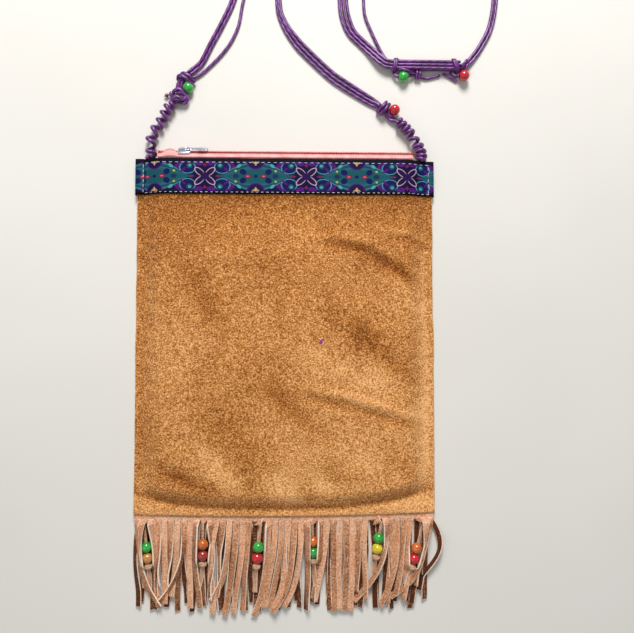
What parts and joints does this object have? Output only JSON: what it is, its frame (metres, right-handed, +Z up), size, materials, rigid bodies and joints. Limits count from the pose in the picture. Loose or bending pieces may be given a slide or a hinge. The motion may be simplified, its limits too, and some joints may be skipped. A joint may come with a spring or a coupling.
{
  "type": "fringed suede crossbody pouch",
  "caption": "Flat suede pouch with a zip mouth, woven ribbon band, beaded thong fringe and knotted cord strap with sliding adjusters.",
  "frame": {"origin": "under the middle of the pouch and its fringe, on the surface they rest on", "axes": "+X along the zip, +Y out of the mouth, +Z up through the front panel"},
  "size_m": [0.2704, 0.5774, 0.0101],
  "materials": {
    "suede_front": "napped caramel suede, matte, with darker and paler patches",
    "suede_back": "the same suede as the front",
    "suede_fringe": "pinkish tan suede with pale cut edges",
    "suede_thong": "narrow rolled suede thong",
    "ribbon": "woven jacquard ribbon, navy with teal, purple, pink and gold",
    "zip_tape": "coral woven zip tape",
    "zip_coil": "dark coral nylon coil",
    "zip_stop": "fused coil end",
    "slider_metal": "bright nickel",
    "cord": "waxed cotton cord, purple, low sheen",
    "bead_green": "glossy round bead",
    "bead_ochre": "glossy round bead",
    "bead_yellow": "glossy round bead",
    "bead_orange": "glossy round bead",
    "bead_red": "glossy round bead",
    "bead_dark_red": "glossy round bead",
    "bead_tip": "small dark pearly bead"
  },
  "bodies": {
    "root": {"front_panel": "suede_front", "back_panel": "suede_back", "ribbon_front": "ribbon", "ribbon_back": "ribbon", "zip_tape_front": "zip_tape", "zip_tape_back": "zip_tape", "zip_coil_front": "zip_coil", "zip_coil_back": "zip_coil", "zip_stop_left": "zip_stop", "zip_stop_right": "zip_stop", "strap_spiral_left": "cord", "strap_spiral_right": "cord", "strap_knot_left": "cord", "strap_knot_right": "cord", "strap_bead_left": "bead_green", "strap_bead_right": "bead_red", "strap_tip_bead_left": "bead_tip", "strand_pair_1": "cord", "strand_pair_2": "cord", "strand_single": "cord", "strand_triple_1": "cord", "strand_triple_2": "cord", "strand_triple_3": "cord"},
    "slider": {"zip_slider": "slider_metal"},
    "pull": {"zip_pull": "slider_metal"},
    "fringe": {"fringe_front": "suede_fringe", "fringe_back": "suede_fringe", "beaded_thong_1": "suede_thong", "beaded_thong_2": "suede_thong", "beaded_thong_3": "suede_thong", "beaded_thong_4": "suede_thong", "beaded_thong_5": "suede_thong", "beaded_thong_6": "suede_thong"},
    "bead_pair_1": {"thong_bead_upper_1": "bead_green", "thong_bead_lower_1": "bead_ochre"},
    "bead_pair_2": {"thong_bead_upper_2": "bead_orange", "thong_bead_lower_2": "bead_dark_red"},
    "bead_pair_3": {"thong_bead_upper_3": "bead_green", "thong_bead_lower_3": "bead_red"},
    "bead_pair_4": {"thong_bead_upper_4": "bead_orange", "thong_bead_lower_4": "bead_green"},
    "bead_pair_5": {"thong_bead_upper_5": "bead_green", "thong_bead_lower_5": "bead_yellow"},
    "bead_pair_6": {"thong_bead_upper_6": "bead_orange", "thong_bead_lower_6": "bead_red"},
    "adjuster_left": {"adjuster_knot_left": "cord", "adjuster_bead_left": "bead_green"},
    "adjuster_right": {"adjuster_knot_right": "cord", "adjuster_bead_right": "bead_red"}
  },
  "joints": [
    {"name": "zip_slide", "type": "slide", "parent": "root", "child": "slider", "axis": [1, 0, 0], "range_m": [0, 0.148]},
    {"name": "pull_swing", "type": "hinge", "parent": "slider", "child": "pull", "pos_m": [-0.074, 0.17043, 0.00793], "axis": [0, -0.6428, 0.766], "range_deg": [0, 170]},
    {"name": "fringe_fold", "type": "hinge", "parent": "root", "child": "fringe", "pos_m": [0, -0.09607, 0.0032], "axis": [-1, 0, 0], "range_deg": [0, 90]},
    {"name": "beads_slide_1", "type": "slide", "parent": "fringe", "child": "bead_pair_1", "axis": [-0.1045, 0.9945, 0], "range_m": [0, 0.012]},
    {"name": "beads_slide_2", "type": "slide", "parent": "fringe", "child": "bead_pair_2", "axis": [0, 1, 0], "range_m": [0, 0.0105]},
    {"name": "beads_slide_3", "type": "slide", "parent": "fringe", "child": "bead_pair_3", "axis": [0.1045, 0.9945, 0], "range_m": [0, 0.013]},
    {"name": "beads_slide_4", "type": "slide", "parent": "fringe", "child": "bead_pair_4", "axis": [-0.0349, 0.9994, 0], "range_m": [0, 0.009]},
    {"name": "beads_slide_5", "type": "slide", "parent": "fringe", "child": "bead_pair_5", "axis": [0.1564, 0.9877, 0], "range_m": [0, 0.007]},
    {"name": "beads_slide_6", "type": "slide", "parent": "fringe", "child": "bead_pair_6", "axis": [0.2588, 0.9659, 0], "range_m": [0, 0.015]},
    {"name": "adjuster_slide_left", "type": "slide", "parent": "root", "child": "adjuster_left", "axis": [1, 0, 0], "range_m": [0, 0.01]},
    {"name": "adjuster_slide_right", "type": "slide", "parent": "root", "child": "adjuster_right", "axis": [-1, 0, 0], "range_m": [0, 0.01]}
  ]
}
